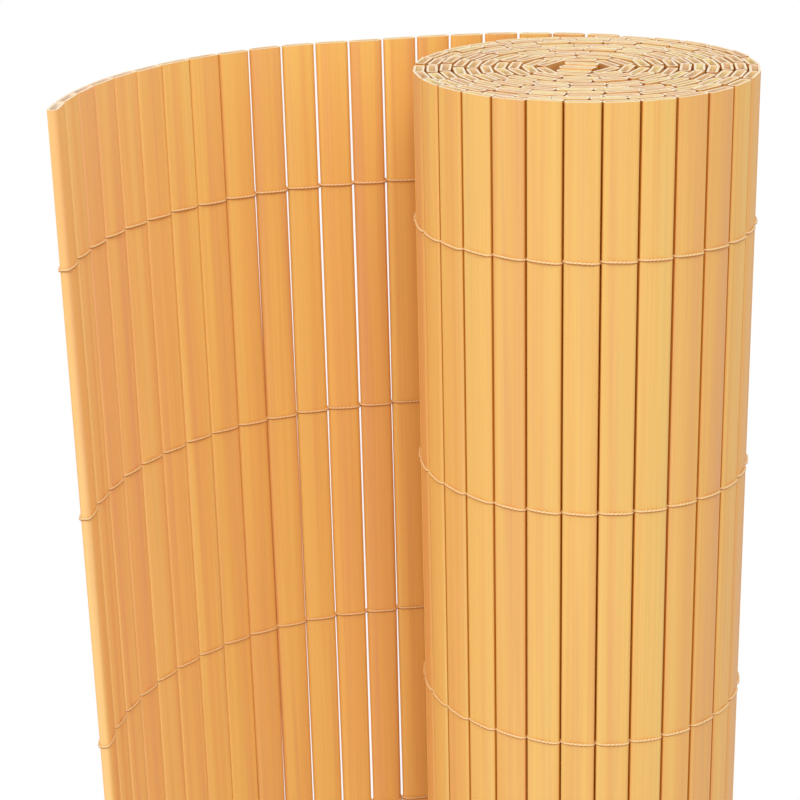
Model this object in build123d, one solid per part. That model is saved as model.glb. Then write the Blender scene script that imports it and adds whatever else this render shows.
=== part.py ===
from build123d import *
import math
import os

# A privacy screen of hollow PVC slats laced side by side with twine, standing on its end.
# Most of its length is wound into a roll, and the free end stands open beside the roll.
# Millimetres, +Z up, origin on the ground under the middle of the whole screen.

# The screen
SCREEN_HEIGHT = 900.0
SLAT_COUNT = 208            # about three metres of screen

# One slat, seen on its cut end
SLAT_WIDTH = 13.0
SLAT_THICKNESS = 3.7
SLAT_WALL = 0.6

# Space between neighbouring slats, drawn tight in the roll and slack in the open run
ROLL_GAP = 0.45
OPEN_GAP = 1.0

# The lacing cord and its rows
CORD_WIDTH = 1.1
CORD_THICKNESS = 0.8
CORD_EASE = 0.05            # between a cord and the slats on either side of it
CORD_ROW_DEPTH = 59.0       # first row, below the top of the screen
CORD_ROW_SPACING = 98.5
CORD_ROW_FOOT = 30.0        # no row is nearer to the ground than this

# The roll, slightly oval as wound by hand
ROLL_OVAL = 0.03            # share by which the long way is longer and the short way shorter
ROLL_START = 320.7          # where the first turn starts, in degrees from the long way
CORE_SIDES = 5              # slats that close the first turn
FOLD_GAP = 0.3              # between slats that lie folded flat on one another inside the first turn
FOLD_TURN = 66.0            # from the folded slats to the first turn, in degrees
LEAVING_HEADING = 153.7     # direction in which the open run leaves the roll, in degrees from +X

# The open run in three stretches from the roll to the free end, each bent to its own radius
NEAR_SLAT_COUNT = 6
NEAR_BEND_RADIUS = 131.4
MIDDLE_SLAT_COUNT = 3
MIDDLE_BEND_RADIUS = 2000.0
FREE_SLAT_COUNT = 11
FREE_BEND_RADIUS = 120.3
NIP_SLAT_COUNT = 2          # slats on either side of where the roll closes, too close for a cord to show

# Sizes that follow from those above
SLAT_BEVEL = SLAT_THICKNESS * (1 - math.sqrt(0.5))
SLAT_CORE = SLAT_WIDTH - SLAT_THICKNESS            # between the centres of a slat's two round edges
ROLL_LINK = SLAT_THICKNESS + ROLL_GAP              # from one slat's edge centre to the next slat's
OPEN_LINK = SLAT_THICKNESS + OPEN_GAP
TURN_SPACE = CORD_THICKNESS + 2 * CORD_EASE        # turns lie one cord apart
OPEN_COUNT = NEAR_SLAT_COUNT + MIDDLE_SLAT_COUNT + FREE_SLAT_COUNT
CORE_CORNER = math.pi / CORE_SIDES
CORE_RADIUS = math.sqrt(
    SLAT_CORE**2 + ROLL_LINK**2 + 2 * SLAT_CORE * ROLL_LINK * math.cos(CORE_CORNER)
) / (2 * math.sin(CORE_CORNER))
CORD_ROWS = 1 + int((SCREEN_HEIGHT - CORD_ROW_DEPTH - CORD_ROW_FOOT) / CORD_ROW_SPACING)


def heading_of(slat):
    start, end = slat
    return math.atan2(end.Y - start.Y, end.X - start.X)


def along(heading, distance):
    return Vector(distance * math.cos(heading), distance * math.sin(heading))


def right_of(heading, distance):
    return along(heading - math.pi / 2, distance)


def make_slat():
    """One hollow slat, standing on the origin with its width along X."""
    outside = chamfer(Rectangle(SLAT_WIDTH, SLAT_THICKNESS).vertices(), SLAT_BEVEL)
    hollow_inset = SLAT_BEVEL + SLAT_WALL * (math.sqrt(2) - 1)
    hollow = Rectangle(SLAT_WIDTH - 2 * hollow_inset, SLAT_THICKNESS - 2 * SLAT_WALL)
    return extrude(outside - hollow, SCREEN_HEIGHT).solid()


def place_slat(solid, slat):
    start, end = slat
    middle = (start + end) / 2
    return Pos(middle.X, middle.Y) * Rot(Z=math.degrees(heading_of(slat))) * solid


def spiral_point(angle, radius):
    return Vector((1 + ROLL_OVAL) * radius * math.cos(angle), (1 - ROLL_OVAL) * radius * math.sin(angle))


def spiral_growth(radius):
    """Growth of the roll's radius in one radian, which leaves flat slats room on the turn below."""
    sagitta = radius - math.sqrt(radius**2 - (SLAT_CORE / 2) ** 2)
    return (SLAT_THICKNESS + TURN_SPACE + sagitta) / (1 - ROLL_OVAL) / (2 * math.pi)


def next_on_spiral(angle, radius, chord):
    """The place further out along the spiral that lies one chord away."""
    start = spiral_point(angle, radius)
    growth = spiral_growth(radius)
    turn = chord / radius
    for refinement in range(12):
        reached = spiral_point(angle + turn, radius + growth * turn)
        turn *= chord / (reached - start).length
    return angle + turn, radius + growth * turn


def count_folded():
    """How many slats have room inside the first turn, folded flat on one another."""
    room = math.sqrt(CORE_RADIUS**2 - (SLAT_CORE / 2) ** 2) - SLAT_THICKNESS / 2 - TURN_SPACE
    room += math.pi * spiral_growth(CORE_RADIUS)
    height = 2 * math.sqrt(room**2 - (SLAT_WIDTH / 2 - SLAT_BEVEL) ** 2)
    return int(height / (SLAT_THICKNESS + FOLD_GAP))


def fold_core(count, first_wound):
    """The folded slats from the inner end outwards, laid to and fro inside the first turn."""
    start_angle = math.atan2(first_wound[0].Y, first_wound[0].X)
    centre = along(start_angle + 1.5 * math.pi, 2 * spiral_growth(CORE_RADIUS))
    heading = heading_of(first_wound) - math.radians(FOLD_TURN)
    slats = []
    for number in range(count):
        sideways = (number - (count - 1) / 2) * (SLAT_THICKNESS + FOLD_GAP)
        middle = centre + right_of(heading, sideways)
        half = along(heading, SLAT_CORE / 2 * (-1) ** (count - 1 - number))
        slats.append((middle - half, middle + half))
    return slats


def wind_roll(count):
    """The wound slats from the core outwards, each as the centres of its two edges, and their turns."""
    slats = []
    turns = []
    angle, radius = math.radians(ROLL_START), CORE_RADIUS
    for number in range(count):
        turns.append(int((angle - math.radians(ROLL_START)) / (2 * math.pi)))
        start = spiral_point(angle, radius)
        angle, radius = next_on_spiral(angle, radius, SLAT_CORE)
        slats.append((start, spiral_point(angle, radius)))
        angle, radius = next_on_spiral(angle, radius, ROLL_LINK)
    turn_to_leave = LEAVING_HEADING - math.degrees(heading_of(slats[-1]))
    slats = [(start.rotate(Axis.Z, turn_to_leave), end.rotate(Axis.Z, turn_to_leave)) for start, end in slats]
    return slats, turns


def run_open(last_rolled):
    """The open run's slats, from the roll to the free end."""
    slats = []
    heading = heading_of(last_rolled)
    end = last_rolled[1]
    for count, radius in (
        (NEAR_SLAT_COUNT, NEAR_BEND_RADIUS),
        (MIDDLE_SLAT_COUNT, MIDDLE_BEND_RADIUS),
        (FREE_SLAT_COUNT, FREE_BEND_RADIUS),
    ):
        bend = (SLAT_WIDTH + OPEN_GAP) / radius
        for number in range(count):
            start = end + along(heading + bend / 2, OPEN_LINK)
            heading += bend
            end = start + along(heading, SLAT_CORE)
            slats.append((start, end))
    return slats


def bend_between(slat, next_slat):
    return math.remainder(heading_of(next_slat) - heading_of(slat), 2 * math.pi)


def last_turn(slats):
    """The slats of the roll's outermost turn."""
    wound = 0.0
    first = len(slats) - 1
    while first > 0 and wound < 2 * math.pi:
        wound += bend_between(slats[first - 1], slats[first])
        first -= 1
    return slats[first + 1:]


def lacing_corners(slats, offset):
    """Corners over the gaps of a line on the slats' faces, offset to the right of the way they run."""
    corners = []
    for slat, next_slat in zip(slats, slats[1:]):
        link = (slat[1], next_slat[0])
        half_bend = bend_between(slat, next_slat) / 2
        reach = (link[1] - link[0]).length / 2 * math.tan(half_bend) + offset / math.cos(half_bend)
        corners.append((link[0] + link[1]) / 2 + right_of(heading_of(link), reach))
    return corners


def make_cord(outer_slats, inner_slats):
    """One lacing cord: along the outer faces, round the free edge and back along the inner faces."""
    face = SLAT_THICKNESS / 2 + CORD_EASE
    first, last, returned = outer_slats[0], outer_slats[-1], inner_slats[0]
    free_edge = last[1] + along(heading_of(last), face)
    free_side = right_of(heading_of(last), face)
    route = [(first[0] + first[1]) / 2 + right_of(heading_of(first), face)]
    route += lacing_corners(outer_slats, face)
    route += [free_edge + free_side, free_edge - free_side]
    route += reversed(lacing_corners(inner_slats, -face))
    route += [(returned[0] + returned[1]) / 2 - right_of(heading_of(returned), face)]
    ridge = make_face(Polyline((0, -CORD_WIDTH / 2), (CORD_THICKNESS, 0), (0, CORD_WIDTH / 2), close=True))
    start = Plane(route[0], x_dir=right_of(heading_of(first), 1), z_dir=along(heading_of(first), 1))
    return sweep(start * ridge, path=Polyline(*route), transition=Transition.RIGHT).solid()


nodes = {}
slat_solid = make_slat()

folded_count = count_folded()
rolled, turns = wind_roll(SLAT_COUNT - OPEN_COUNT - folded_count)
folded = fold_core(folded_count, rolled[0])
nodes["roll_core"] = [place_slat(slat_solid, slat) for slat in folded]
for slat, turn in zip(rolled, turns):
    nodes.setdefault(f"roll_turn_{turn + 1:02d}", []).append(place_slat(slat_solid, slat))

opened = run_open(rolled[-1])
for number, slat in enumerate(opened, 1):
    nodes[f"open_slat_{number:02d}"] = [place_slat(slat_solid, slat)]

# The cords show on the outermost turn and on both faces of the open run.
cord_solid = make_cord(last_turn(rolled)[NIP_SLAT_COUNT:] + opened, opened[NIP_SLAT_COUNT:])
for row in range(CORD_ROWS):
    height = SCREEN_HEIGHT - CORD_ROW_DEPTH - row * CORD_ROW_SPACING
    nodes[f"cord_row_{row + 1}"] = [Pos(Z=height) * cord_solid]

box = Compound([solid for solids in nodes.values() for solid in solids]).bounding_box()
centring = Pos(-box.center().X, -box.center().Y)

os.makedirs("parts", exist_ok=True)
for name, solids in nodes.items():
    placed = [centring * solid for solid in solids]
    export_step(placed[0] if len(placed) == 1 else Compound(placed), f"parts/{name}.step")

print("slats folded", len(folded), "wound", len(rolled), "open", len(opened), "rows of cord", CORD_ROWS)
print("overall size", box.size)
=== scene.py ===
import math
import random

import bmesh
import bpy
from mathutils import Matrix, Vector


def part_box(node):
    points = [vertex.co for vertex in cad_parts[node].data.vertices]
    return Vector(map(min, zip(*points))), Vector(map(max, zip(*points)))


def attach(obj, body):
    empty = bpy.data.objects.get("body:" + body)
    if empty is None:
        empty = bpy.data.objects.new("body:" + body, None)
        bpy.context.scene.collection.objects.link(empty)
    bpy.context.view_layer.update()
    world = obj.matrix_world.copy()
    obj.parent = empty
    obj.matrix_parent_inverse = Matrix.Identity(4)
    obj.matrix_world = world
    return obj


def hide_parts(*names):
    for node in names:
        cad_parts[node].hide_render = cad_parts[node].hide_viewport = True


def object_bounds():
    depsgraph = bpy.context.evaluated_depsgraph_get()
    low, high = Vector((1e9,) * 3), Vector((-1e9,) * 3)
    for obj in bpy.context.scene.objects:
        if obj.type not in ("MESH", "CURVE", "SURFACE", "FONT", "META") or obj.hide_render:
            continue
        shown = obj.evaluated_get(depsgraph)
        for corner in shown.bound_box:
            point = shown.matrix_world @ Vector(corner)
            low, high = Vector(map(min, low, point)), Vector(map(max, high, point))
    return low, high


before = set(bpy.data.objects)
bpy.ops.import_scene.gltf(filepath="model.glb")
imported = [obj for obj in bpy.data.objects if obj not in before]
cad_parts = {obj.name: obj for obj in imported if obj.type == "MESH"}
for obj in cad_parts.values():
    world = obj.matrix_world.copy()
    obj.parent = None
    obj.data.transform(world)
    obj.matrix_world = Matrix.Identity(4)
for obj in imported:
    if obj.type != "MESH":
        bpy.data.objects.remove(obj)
cadLow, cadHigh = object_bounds()
mm = 0.001
slatHeight = cadHigh.z - cadLow.z


# Places of the slats, read from the frame

reading = {
    "mergeWithin": 0.001 * mm,  # the nodes come as loose triangles
    "footBelow": 1.0 * mm,  # vertices lower than this are on a slat's lower end
}


def islandsOf(bm):  # groups of vertices that hang together, one for each slat
    groups, seen = [], set()
    for first in bm.verts:
        if first in seen:
            continue
        group, waiting = [], [first]
        seen.add(first)
        while waiting:
            vert = waiting.pop()
            group.append(vert)
            for edge in vert.link_edges:
                other = edge.other_vert(vert)
                if other not in seen:
                    seen.add(other)
                    waiting.append(other)
        groups.append(group)
    return groups


def readSlats(node):  # centre, heading and size in plan of each slat in a node
    bm = bmesh.new()
    bm.from_mesh(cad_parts[node].data)
    bmesh.ops.remove_doubles(bm, verts=bm.verts, dist=reading["mergeWithin"])
    slats = []
    for group in islandsOf(bm):
        foot = [vert.co.xy for vert in group if vert.co.z < cadLow.z + reading["footBelow"]]
        centre = sum(foot, Vector((0, 0))) / len(foot)
        away = [point - centre for point in foot]
        xx = sum(p.x * p.x for p in away)
        yy = sum(p.y * p.y for p in away)
        xy = sum(p.x * p.y for p in away)
        heading = math.atan2(2 * xy, xx - yy) / 2  # the way in which the slat is broadest
        way = Vector((math.cos(heading), math.sin(heading)))
        side = Vector((-way.y, way.x))
        width = 2 * max(p.dot(way) for p in away)
        thick = 2 * max(p.dot(side) for p in away)
        slats.append({"node": node, "centre": centre, "way": way, "width": width, "thick": thick})
    bm.free()
    return slats


def threadChain(slats, free):  # order from the core to the free end, each heading outwards
    chain = []
    left = list(slats)
    core = (free["width"] - free["thick"]) / 2  # from a slat's middle to the centre of a round edge
    tip = free["centre"] + free["way"] * core * (1 if free["way"].y < 0 else -1)  # the free end faces -Y
    slat = free
    while True:
        left.remove(slat)
        outwards = slat["way"] if (tip - slat["centre"]).dot(slat["way"]) > 0 else -slat["way"]
        slat["way"] = outwards
        chain.append(slat)
        if not left:
            break
        inner = slat["centre"] - outwards * (core + slat["thick"] / 2)
        ends = [(other["centre"] + other["way"] * core * sign, other) for other in left for sign in (1, -1)]
        tip, slat = min(ends, key=lambda end: (end[0] - inner).length)
    chain.reverse()
    return chain


slatNodes = sorted(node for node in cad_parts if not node.startswith("cord"))
cordNodes = sorted(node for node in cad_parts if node.startswith("cord"))
openNodes = [node for node in slatNodes if node.startswith("open")]
allSlats = [slat for node in slatNodes for slat in readSlats(node)]
freeSlat = next(slat for slat in allSlats if slat["node"] == openNodes[-1])
chain = threadChain(allSlats, freeSlat)
slatWidth, slatThick = freeSlat["width"], freeSlat["thick"]
print("slats found", len(chain), "width", round(slatWidth, 5), "thick", round(slatThick, 5))


# Materials

def newMaterial(name):
    material = bpy.data.materials.new(name)
    material.use_nodes = True
    tree = material.node_tree
    return material, tree, tree.nodes["Principled BSDF"]


def addNode(tree, kind, inputs=None, **settings):  # inputs holds a value or a link for each socket
    node = tree.nodes.new(kind)
    for key, value in settings.items():
        setattr(node, key, value)
    for key, value in (inputs or {}).items():
        if isinstance(value, bpy.types.NodeSocket):
            tree.links.new(value, node.inputs[key])
        else:
            node.inputs[key].default_value = value
    return node


def addMath(tree, operation, *values):
    return addNode(tree, "ShaderNodeMath", dict(enumerate(values)), operation=operation).outputs[0]


def addRamp(tree, factor, stops):  # stops are (place, colour)
    ramp = addNode(tree, "ShaderNodeValToRGB", {"Fac": factor})
    elements = ramp.color_ramp.elements
    while len(elements) < len(stops):
        elements.new(0.5)
    for element, (place, colour) in zip(elements, stops):
        element.position = place
        element.color = (*colour, 1)
    return ramp.outputs["Color"]


def addTint(tree, share, colour, tint):  # colour multiplied by the tint
    mix = addNode(tree, "ShaderNodeMix", {0: share, 6: colour, 7: tint},
                  data_type="RGBA", blend_type="MULTIPLY")
    return mix.outputs[2]


def addRelief(tree, shader, height, relief):
    bump = addNode(tree, "ShaderNodeBump", {
        "Height": height, "Strength": relief["strength"], "Distance": relief["depth"]})
    tree.links.new(bump.outputs["Normal"], shader.inputs["Normal"])


slatFinish = {
    "tones": [  # from pinkish tan over gold to dull yellow
        (0.0, (0.80, 0.41, 0.17)),
        (0.22, (0.84, 0.44, 0.145)),
        (0.42, (0.87, 0.465, 0.13)),
        (0.62, (0.90, 0.53, 0.145)),
        (0.82, (0.88, 0.55, 0.16)),
        (1.0, (0.80, 0.50, 0.18)),
    ],
    "bandShare": 1.1,  # how far the bands move along the tones
    "toneShare": 0.42,  # and the slat's own tone
    "bands": {"scale": (170, 250, 2.6), "detail": 1.5},  # features per metre across, through and along
    "blush": {"scale": (260, 300, 4.5), "detail": 2.0},  # faint pinkish streaks
    "threads": {"scale": (1500, 900, 9), "detail": 3.0},  # fine lines
    "streakRoughness": 0.55,
    "blushTint": [(0.52, (1.0, 1.0, 1.0)), (0.72, (0.95, 0.89, 1.06))],
    "blushTintShare": 0.85,
    "threadTint": [(0.3, (0.94, 0.93, 0.92)), (0.7, (1.03, 1.03, 1.04))],
    "threadTintShare": 0.8,
    "threadRange": (0.3, 0.7),  # the fine lines' values that give the two roughnesses
    "roughness": (0.46, 0.6),
    "relief": {"strength": 0.12, "depth": 0.1 * mm},
    "faded": (1.05, 1.07, 1.5),  # painted light: paler, bluer colour towards the free end, standing in for the white light that reaches it
    "skins": {
        # painted light: the open run's copy is lighter than the roll's, standing in for light on its inner
        # face
        "rolledSlatSkin": {"shade": (0.97, 0.97, 1.0), "gloss": 0.28},
        "openSlatSkin": {"shade": (1.06, 1.06, 0.98), "gloss": 0.35},
        "hollowSkin": {"shade": (1.16, 1.64, 3.3), "gloss": 0.2},  # painted light: paler inside the slats, standing in for the light that falls into the hollows
        "narrowSideSkin": {"shade": (0.68, 0.43, 0.18), "gloss": 0.0},  # painted shade: dark brown on the roll's narrow sides, standing in for the shade in its narrow gaps
    },
}


def makeSlatMaterial(name):  # satin extruded PVC with bamboo streaks
    material, tree, shader = newMaterial(name)
    skin = slatFinish["skins"][name]
    grain = addNode(tree, "ShaderNodeAttribute", attribute_name="grain").outputs["Vector"]
    tone = addNode(tree, "ShaderNodeAttribute", attribute_name="slatTone").outputs["Fac"]
    pale = addNode(tree, "ShaderNodeAttribute", attribute_name="paleness").outputs["Fac"]

    def streaks(facts):  # noise drawn out along the slat
        place = addNode(tree, "ShaderNodeMapping", {"Vector": grain, "Scale": facts["scale"]})
        return addNode(tree, "ShaderNodeTexNoise", {
            "Vector": place.outputs["Vector"], "Scale": 1.0, "Detail": facts["detail"],
            "Roughness": slatFinish["streakRoughness"]}).outputs["Fac"]

    bands = streaks(slatFinish["bands"])
    blush = streaks(slatFinish["blush"])
    threads = streaks(slatFinish["threads"])
    bandShare, toneShare = slatFinish["bandShare"], slatFinish["toneShare"]
    centred = 0.5 - 0.5 * bandShare - 0.5 * toneShare  # middling bands and tone give the middle of the tones
    bandPart = addMath(tree, "MULTIPLY_ADD", bands, bandShare, centred)
    place = addMath(tree, "MULTIPLY_ADD", tone, toneShare, bandPart)
    colour = addRamp(tree, place, slatFinish["tones"])
    pink = addRamp(tree, blush, slatFinish["blushTint"])
    colour = addTint(tree, slatFinish["blushTintShare"], colour, pink)
    fine = addRamp(tree, threads, slatFinish["threadTint"])
    colour = addTint(tree, slatFinish["threadTintShare"], colour, fine)
    colour = addTint(tree, 1.0, colour, (*skin["shade"], 1))
    # painted light: paler towards the free end
    colour = addTint(tree, pale, colour, (*slatFinish["faded"], 1))
    tree.links.new(colour, shader.inputs["Base Color"])
    low, high = slatFinish["threadRange"]
    smooth, rough = slatFinish["roughness"]
    roughness = addNode(tree, "ShaderNodeMapRange", {
        "Value": threads, "From Min": low, "From Max": high, "To Min": smooth, "To Max": rough})
    tree.links.new(roughness.outputs["Result"], shader.inputs["Roughness"])
    addRelief(tree, shader, threads, slatFinish["relief"])
    shader.inputs["Specular IOR Level"].default_value = skin["gloss"]
    return material


sawnFinish = {
    "scratches": {"scale": 900.0, "detail": 3.0},
    # pale tones, partly the raw cut's colour and partly painted light from above
    "tones": [(0.3, (0.95, 0.76, 0.51)), (0.7, (0.98, 0.84, 0.61))],
    "relief": {"strength": 0.2, "depth": 0.1 * mm},
    "roughness": 0.55,
}


def makeCutMaterial():  # sawn ends, paler than the skin: partly the raw cut's own colour, partly painted light from above
    material, tree, shader = newMaterial("sawnEnd")
    place = addNode(tree, "ShaderNodeTexCoord").outputs["Object"]
    scratches = addNode(tree, "ShaderNodeTexNoise", {
        "Vector": place, "Scale": sawnFinish["scratches"]["scale"],
        "Detail": sawnFinish["scratches"]["detail"]}).outputs["Fac"]
    tree.links.new(addRamp(tree, scratches, sawnFinish["tones"]), shader.inputs["Base Color"])
    addRelief(tree, shader, scratches, sawnFinish["relief"])
    shader.inputs["Roughness"].default_value = sawnFinish["roughness"]
    return material


twineFinish = {
    "turns": 736.842,  # of the twist along one row's twine, at about 2 mm each
    "groove": (0.76, 0.45, 0.17),
    "crown": (0.97, 0.69, 0.35),
    "crownFrom": 0.55,  # height above the groove from which the ply has its full colour; below it, painted shade darkens the crease between the plies
    # painted shade: the twine is browner on its underside
    "underside": (0.62, 0.34, 0.16),
    "undersideTo": 0.4,  # on the attribute upper, which is 0 below and 1 on top
    "topFrom": 0.62,
    "relief": {"strength": 0.6, "depth": 0.15 * mm},
    "roughness": 0.45,
    "gloss": 0.4,
}


def makeTwineMaterial():  # beige two-ply twine with a silky sheen, with painted shade that makes it browner below and darker in the grooves between the plies
    material, tree, shader = newMaterial("beigeTwine")
    unwound = addNode(tree, "ShaderNodeUVMap", uv_map="UVMap").outputs["UV"]
    parts = addNode(tree, "ShaderNodeSeparateXYZ", {"Vector": unwound})
    turns = addMath(tree, "MULTIPLY_ADD", parts.outputs["X"], twineFinish["turns"], parts.outputs["Y"])
    angle = addMath(tree, "MULTIPLY", turns, 4 * math.pi)  # two plies to a turn
    ply = addMath(tree, "SINE", angle)
    height = addNode(tree, "ShaderNodeMapRange", {"Value": ply, "From Min": -1.0}).outputs["Result"]
    # painted shade in the grooves between the plies
    colour = addRamp(tree, height, [
        (0.0, twineFinish["groove"]), (twineFinish["crownFrom"], twineFinish["crown"])])
    upper = addNode(tree, "ShaderNodeAttribute", attribute_name="upper").outputs["Fac"]
    # painted shade on the twine's underside
    below = addRamp(tree, upper, [
        (twineFinish["undersideTo"], twineFinish["underside"]), (twineFinish["topFrom"], (1.0, 1.0, 1.0))])
    tree.links.new(addTint(tree, 1.0, colour, below), shader.inputs["Base Color"])
    addRelief(tree, shader, height, twineFinish["relief"])
    shader.inputs["Roughness"].default_value = twineFinish["roughness"]
    shader.inputs["Specular IOR Level"].default_value = twineFinish["gloss"]
    return material


# the open run's skin is a lighter copy of the roll's, with painted light
rolledSkin = makeSlatMaterial("rolledSlatSkin")
paintedLightOpenSkin = makeSlatMaterial("openSlatSkin")
# painted light inside the hollows
hollowSkin = makeSlatMaterial("hollowSkin")
# painted shade for the narrow sides in the roll's gaps
narrowSide = makeSlatMaterial("narrowSideSkin")
sawnEnd = makeCutMaterial()
beigeTwine = makeTwineMaterial()
print("materials made")


# Slats

slatForm = {
    # rounding of the edges, height of the faces' middle over the CAD's and its fall to the edges
    "rolled": {"radius": 1.5 * mm, "segments": 3, "crown": 0.25 * mm, "fall": 0.0},
    "open": {"radius": 1.6 * mm, "segments": 5, "crown": 0.25 * mm, "fall": 0.4 * mm},
    "outer": {"radius": 1.0 * mm, "segments": 4, "crown": 0.12 * mm, "fall": 0.12 * mm},
    "outerFrom": 0.62,  # place on the open run, from 0 at the roll to 1 at the free end
    "flatHalf": 4.0 * mm,  # half the width of a face's flat middle
    "wall": 0.9 * mm,
    "sideFacing": 0.95,  # faces whose normal has more than this along X are narrow sides, which get the painted gap shade
    "sharpAngle": 40,  # degrees
    "snug": 0.1 * mm,  # by this a rolled slat is broader to either side
    "slack": (-0.08 * mm, 0.38 * mm),  # and an open one, near the roll and further out
    "slackFrom": 0.42,  # place on the open run where the slack starts to grow
    "slackOver": 0.3,
    "pinch": {"depth": 0.33 * mm, "height": 0.69, "length": 0.4},  # gaps close here and a length away
    "mostSlack": 0.42 * mm,
    "fadeFrom": 0.6,  # place on the open run where the painted light starts to pale the colour
    "fadeOver": 0.3,
    "openTone": (0.18, 0.95),
    "freeTone": 0.85,  # of the last slat
    "grainSpread": (3, 3, 9),  # each slat's streaks start somewhere in this box
    "bowCuts": 17,  # open slats are cut across so that they can bow
    "bow": 0.11 * mm,
    "bowLength": (0.4, 0.7),
    "bowPhase": 6.28,
    "shift": 0.11 * mm,
    "steadied": 0.8,  # share of bow and shift that is lost towards the free end
    "uneven": {"rolled": 0.6 * mm, "open": 0.2 * mm},  # the tops aren't quite level
    "chanceSeed": 7,
}
slatSurfaces = ("skin", "sawnEnd", "hollow", "narrowSide")  # in the order of a slat's materials


def makeBaseSlat(cuts, form):  # one slat at the origin, its width along X
    bm = bmesh.new()
    x, flat = slatWidth / 2, slatForm["flatHalf"]
    middle = slatThick / 2 + form["crown"]
    y = middle - form["fall"]
    side = [(-x, y), (-flat, middle), (flat, middle), (x, y)] if form["fall"] else [(-x, y), (x, y)]
    low = [bm.verts.new((across, -out, 0)) for across, out in side]
    high = [bm.verts.new((-across, out, 0)) for across, out in side]
    bm.faces.new(low + high)
    bmesh.ops.bevel(bm, geom=[low[0], low[-1], high[0], high[-1]], affect="VERTICES",
                    offset=form["radius"], segments=form["segments"], profile=0.5, material=-1)
    face = max(bm.faces, key=lambda f: f.calc_area())
    ring = bmesh.ops.inset_region(bm, faces=[face], thickness=slatForm["wall"],
                                  use_boundary=True, use_even_offset=True)["faces"]
    bmesh.ops.delete(bm, geom=[face], context="FACES_ONLY")
    raised = bmesh.ops.extrude_face_region(bm, geom=ring, use_keep_orig=True)["geom"]
    raisedVerts = [part for part in raised if isinstance(part, bmesh.types.BMVert)]
    bmesh.ops.translate(bm, verts=raisedVerts, vec=(0, 0, slatHeight))
    bmesh.ops.recalc_face_normals(bm, faces=bm.faces)
    if cuts:
        tall = [edge for edge in bm.edges if edge.calc_length() > slatHeight / 2]
        bmesh.ops.subdivide_edges(bm, edges=tall, cuts=cuts, use_grid_fill=True)
    # narrow sides of the rolled slats get the painted gap shade
    for face in bm.faces:
        if abs(face.normal.z) > 0.5:
            surface = "sawnEnd"
        elif face.normal.xy.dot(face.calc_center_median().xy) < 0:
            surface = "hollow"
        elif abs(face.normal.x) > slatForm["sideFacing"] and not cuts:
            surface = "narrowSide"
        else:
            surface = "skin"
        face.material_index = slatSurfaces.index(surface)
        face.smooth = True
    mesh = bpy.data.meshes.new("baseSlat")
    bm.to_mesh(mesh)
    bm.free()
    return mesh


def risen(place, start, over):  # 0 up to the start, then up to 1
    return min(max((place - start) / over, 0), 1)


def addSlat(bm, base, slat, chance, along):  # one slat put in its place, with its own grain and tone
    tone, grain = bm.verts.layers.float["slatTone"], bm.verts.layers.float_vector["grain"]
    paleness = bm.verts.layers.float["paleness"]
    before = len(bm.verts)
    bm.from_mesh(base)
    bm.verts.ensure_lookup_table()
    verts = bm.verts[before:]
    isOpen = along is not None  # along is 0 at the roll and 1 at the free end
    slatTone = chance.uniform(*slatForm["openTone"]) if isOpen else chance.random()
    if along == 1:
        slatTone = slatForm["freeTone"]
    seed = Vector([chance.uniform(0, spread) for spread in slatForm["grainSpread"]])
    drop = chance.uniform(0, slatForm["uneven"]["open" if isOpen else "rolled"])
    loose = 1 - slatForm["steadied"] * along if isOpen else 0
    tight, wide = slatForm["slack"]
    pinch, pale = slatForm["pinch"], 0.0
    if isOpen:
        outwards = risen(along, slatForm["slackFrom"], slatForm["slackOver"])
        slack = tight + (wide - tight) * outwards**2 * (3 - 2 * outwards)
        # share of the painted light towards the free end
        pale = risen(along, slatForm["fadeFrom"], slatForm["fadeOver"])
    shift = chance.uniform(-1, 1) * slatForm["shift"] * loose
    wave = 2 * math.pi / chance.uniform(*slatForm["bowLength"])
    phase = chance.uniform(0, slatForm["bowPhase"])
    for vert in verts:
        vert[tone] = slatTone
        vert[paleness] = pale
        vert[grain] = vert.co + seed
        if vert.co.z > slatHeight - mm:
            vert.co.z -= drop
        broader = slatForm["snug"]
        if isOpen:
            closing = 0.5 + 0.5 * math.cos(2 * math.pi * (vert.co.z - pinch["height"]) / pinch["length"])
            broader = min(slack + pinch["depth"] * closing, slatForm["mostSlack"])
        vert.co.x += math.copysign(broader, vert.co.x)
        vert.co.x += shift + slatForm["bow"] * loose * math.sin(wave * vert.co.z + phase)
    turn = math.atan2(slat["way"].y, slat["way"].x)
    spot = Matrix.Translation((slat["centre"].x, slat["centre"].y, cadLow.z))
    bmesh.ops.transform(bm, matrix=spot @ Matrix.Rotation(turn, 4, "Z"), verts=verts)


def pieceName(node):
    first, *others = node.split("_")
    return first + "".join(word.capitalize() for word in others)


def makeSlatPiece(node, slats, base, skin, chance, along=None):
    bm = bmesh.new()
    bm.verts.layers.float.new("slatTone")
    bm.verts.layers.float.new("paleness")
    bm.verts.layers.float_vector.new("grain")
    for slat in slats:
        addSlat(bm, base, slat, chance, along)
    mesh = bpy.data.meshes.new(pieceName(node))
    bm.to_mesh(mesh)
    bm.free()
    for material in (skin, sawnEnd, hollowSkin, narrowSide):
        mesh.materials.append(material)
    mesh.set_sharp_from_angle(angle=math.radians(slatForm["sharpAngle"]))
    piece = bpy.data.objects.new(pieceName(node), mesh)
    bpy.context.scene.collection.objects.link(piece)
    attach(piece, "root")
    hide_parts(node)


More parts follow.
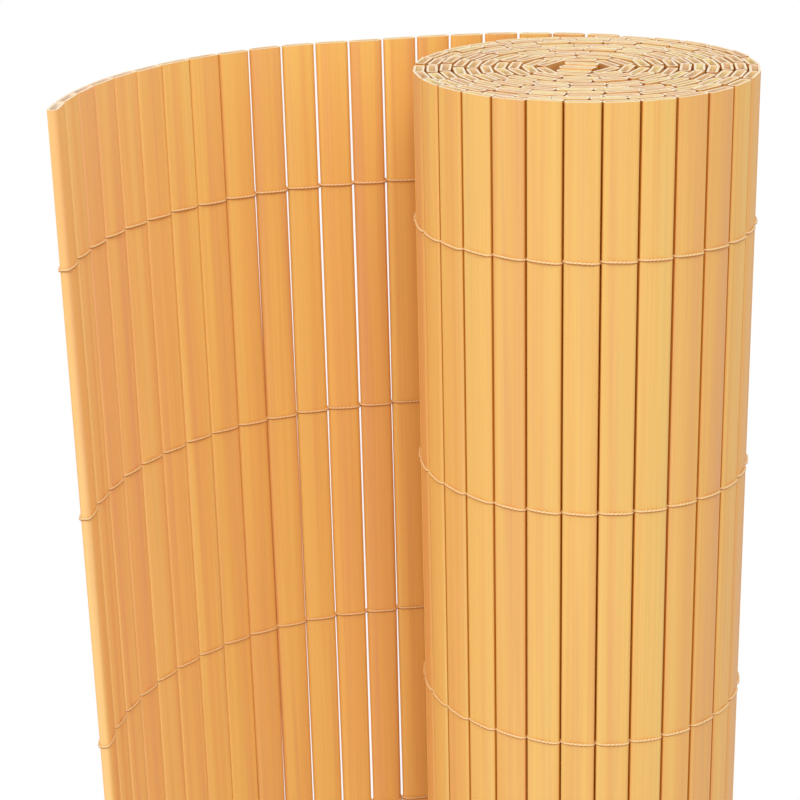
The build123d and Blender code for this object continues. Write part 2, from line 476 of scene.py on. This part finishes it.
straightSlat = makeBaseSlat(0, slatForm["rolled"])
bowedSlat = makeBaseSlat(slatForm["bowCuts"], slatForm["open"])
outerSlat = makeBaseSlat(slatForm["bowCuts"], slatForm["outer"])
chance = random.Random(slatForm["chanceSeed"])
for node in slatNodes:
    slats = [slat for slat in chain if slat["node"] == node]
    if node in openNodes:
        along = openNodes.index(node) / (len(openNodes) - 1)
        base = outerSlat if slatForm["outerFrom"] < along < 1 else bowedSlat
        makeSlatPiece(node, slats, base, paintedLightOpenSkin, chance, along)
    else:
        makeSlatPiece(node, slats, straightSlat, rolledSkin, chance)
print("slats made")


# Lacing

lacing = {
    "radius": 0.6 * mm,
    "bedded": 0.8,  # height of a strand's middle over the slat, in radii
    "twist": 0.3 * mm,  # half the height between the strands where they cross in a gap
    "reach": 3.2 * mm,  # from a slat's edge to where the strand lies flat
    "drift": 0.2,  # share of its fall or rise that a strand makes on the way there
    "edgeInset": 0.2 * mm,
    "edgeDip": 0.75,  # share of its height that a strand keeps at the edge
    "waver": 0.18 * mm,
    "loop": 0.4,  # half the loop's width round the last slat, in slat thicknesses
    "order": 3,  # of the curve
    "fineness": 3,  # steps between two points of the curve
    "roundness": 1,
    "tucked": 3,  # slats under the open run, where the strands go in between the turns
}


def lacePoint(slat, across, out, z):  # across along the slat, out to its outer face
    side = Vector((slat["way"].y, -slat["way"].x))
    spot = slat["centre"] + slat["way"] * across + side * out
    return Vector((spot.x, spot.y, z))


def strandPoints(slats, row, face, chance):  # one strand, on the first slat's outer face if face is 1
    points = []
    edge, flat = slatWidth / 2 - lacing["edgeInset"], slatWidth / 2 - lacing["reach"]
    drift, dip = lacing["drift"], lacing["edgeDip"]
    for slat in slats:
        crown = slatForm["open" if slat["node"] in openNodes else "rolled"]["crown"]
        lift = face * (slatThick / 2 + crown + lacing["radius"] * lacing["bedded"])
        start, end = row + face * lacing["twist"], row - face * lacing["twist"]
        waver = chance.uniform(-1, 1) * lacing["waver"]
        points.append(lacePoint(slat, -edge, lift * dip, start + waver))
        points.append(lacePoint(slat, -flat, lift, start + (end - start) * drift + waver))
        points.append(lacePoint(slat, flat, lift, end + (start - end) * drift + waver))
        points.append(lacePoint(slat, edge, lift * dip, end + waver))
        face = -face
    return points


def makeCord(node, slats, chance):
    name = pieceName(node)
    low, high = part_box(node)
    row = (low.z + high.z) / 2
    outer = strandPoints(slats, row, 1, chance)
    inner = strandPoints(slats, row, -1, chance)
    lastFace = 1 if len(slats) % 2 else -1  # where the first strand ends, as it changes face at each gap
    edge = slatWidth / 2 + lacing["radius"]
    turning = lastFace * slatThick * lacing["loop"]
    loop = [lacePoint(slats[-1], edge, out, row) for out in (turning, -turning)]
    points = outer + loop + inner[::-1]
    curve = bpy.data.curves.new(name, "CURVE")
    curve.dimensions = "3D"
    curve.bevel_depth = lacing["radius"]
    curve.bevel_resolution = lacing["roundness"]
    curve.use_fill_caps = True
    curve.resolution_u = lacing["fineness"]
    spline = curve.splines.new("NURBS")
    spline.points.add(len(points) - 1)
    for spot, point in zip(spline.points, points):
        spot.co = (*point, 1)
    spline.order_u = lacing["order"]
    spline.use_endpoint_u = True
    route = bpy.data.objects.new(name + "Route", curve)
    mesh = bpy.data.meshes.new_from_object(route)
    bpy.data.objects.remove(route)
    mesh.name = name
    mesh.materials.clear()
    mesh.materials.append(beigeTwine)
    for polygon in mesh.polygons:
        polygon.use_smooth = True
    upper = mesh.attributes.new("upper", "FLOAT", "POINT")  # 0 under the cord, 1 on top of it, for the painted shade below
    for fact, vert in zip(upper.data, mesh.vertices):
        fact.value = 0.5 + 0.5 * vert.normal.z
    piece = bpy.data.objects.new(name, mesh)
    bpy.context.scene.collection.objects.link(piece)
    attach(piece, "root")
    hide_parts(node)


def lastTurn(slats):  # number of slats that the roll's outermost turn takes
    wound, count = 0.0, 0
    while wound < 2 * math.pi:
        wound += abs(slats[-count - 1]["way"].angle_signed(slats[-count - 2]["way"]))
        count += 1
    return count


rolledChain = [slat for slat in chain if slat["node"] not in openNodes]
shown = len(chain) - len(rolledChain) + lastTurn(rolledChain) + lacing["tucked"]
for node in cordNodes:
    makeCord(node, chain[-shown:], chance)
print("cords made over", shown, "slats each")


# Floor, light and camera

studio = {
    "floorSize": 14.0,
    "floorColour": (0.86, 0.86, 0.86, 1),
    "floorRoughness": 0.7,
    "white": (1, 1, 1, 1),
    "whiteFrom": 0.45,  # metres from the object where the floor starts to turn plain white
    "whiteAt": 0.95,
    "ambient": 0.74,
    "key": {"spot": (0.2, -2.2, 3.0), "size": 1.2, "power": 28},
    "fill": {"spot": (-2.0, -1.6, 1.6), "size": 1.6, "power": 12},
    "aim": 0.75,  # share of the screen's height at which both lights point
}
cameraPlace = {
    "spot": (-7.83 * mm, -781.2 * mm, 1059.7 * mm),
    "lens": 93.42,
    "sensor": 36.0,
    "lookDown": 20.644,  # degrees
    "roll": -1.397,
}


def seenDirectly(tree):  # 1 where the camera sees the background, also by reflection or through glass
    seen = addNode(tree, "ShaderNodeLightPath").outputs
    direct = addMath(tree, "MAXIMUM", seen["Is Camera Ray"], seen["Is Glossy Ray"])
    return addMath(tree, "MAXIMUM", direct, seen["Is Transmission Ray"])


def makeFloor():
    bm = bmesh.new()
    bmesh.ops.create_grid(bm, x_segments=1, y_segments=1, size=studio["floorSize"] / 2)
    bmesh.ops.translate(bm, verts=bm.verts, vec=(0, 0, cadLow.z))
    mesh = bpy.data.meshes.new("studioFloor")
    bm.to_mesh(mesh)
    bm.free()
    floor = bpy.data.objects.new("studioFloor", mesh)
    bpy.context.scene.collection.objects.link(floor)
    material, tree, shader = newMaterial("paleFloor")
    shader.inputs["Roughness"].default_value = studio["floorRoughness"]
    shader.inputs["Base Color"].default_value = studio["floorColour"]
    place = addNode(tree, "ShaderNodeTexCoord").outputs["Object"]
    distance = addNode(tree, "ShaderNodeVectorMath", {0: place}, operation="LENGTH").outputs["Value"]
    far = addNode(tree, "ShaderNodeMapRange", {
        "Value": distance, "From Min": studio["whiteFrom"], "From Max": studio["whiteAt"]}).outputs["Result"]
    factor = addMath(tree, "MULTIPLY", far, seenDirectly(tree))
    white = addNode(tree, "ShaderNodeEmission", {"Color": studio["white"], "Strength": 1.0})
    blend = addNode(tree, "ShaderNodeMixShader", {0: factor, 1: shader.outputs[0], 2: white.outputs[0]})
    tree.links.new(blend.outputs[0], tree.nodes["Material Output"].inputs["Surface"])
    mesh.materials.append(material)


def makeWorld():
    world = bpy.data.worlds.new("paleStudio")
    world.use_nodes = True
    tree = world.node_tree
    soft = tree.nodes["Background"]
    soft.inputs["Color"].default_value = studio["white"]
    soft.inputs["Strength"].default_value = studio["ambient"]
    plain = addNode(tree, "ShaderNodeBackground", {"Color": studio["white"], "Strength": 1.0})
    blend = addNode(tree, "ShaderNodeMixShader", {
        0: seenDirectly(tree), 1: soft.outputs[0], 2: plain.outputs[0]})
    tree.links.new(blend.outputs[0], tree.nodes["World Output"].inputs["Surface"])
    bpy.context.scene.world = world


def makeLight(name, facts):
    light = bpy.data.lights.new(name, "AREA")
    light.size = facts["size"]
    light.energy = facts["power"]
    lamp = bpy.data.objects.new(name, light)
    lamp.location = facts["spot"]
    target = Vector((0, 0, cadLow.z + studio["aim"] * slatHeight))
    lamp.rotation_euler = (target - Vector(facts["spot"])).to_track_quat("-Z", "Y").to_euler()
    bpy.context.scene.collection.objects.link(lamp)


def makeCamera():
    lens = bpy.data.cameras.new("photoCamera")
    lens.lens = cameraPlace["lens"]
    lens.sensor_width = cameraPlace["sensor"]
    camera = bpy.data.objects.new("photoCamera", lens)
    camera.matrix_world = (
        Matrix.Translation(cameraPlace["spot"])
        @ Matrix.Rotation(math.radians(90 - cameraPlace["lookDown"]), 4, "X")
        @ Matrix.Rotation(math.radians(cameraPlace["roll"]), 4, "Z"))
    bpy.context.scene.collection.objects.link(camera)
    bpy.context.scene.camera = camera


makeFloor()
makeWorld()
makeLight("keyPanel", studio["key"])
makeLight("fillPanel", studio["fill"])
makeCamera()
bpy.context.scene.view_settings.view_transform = "Standard"
print("studio made")
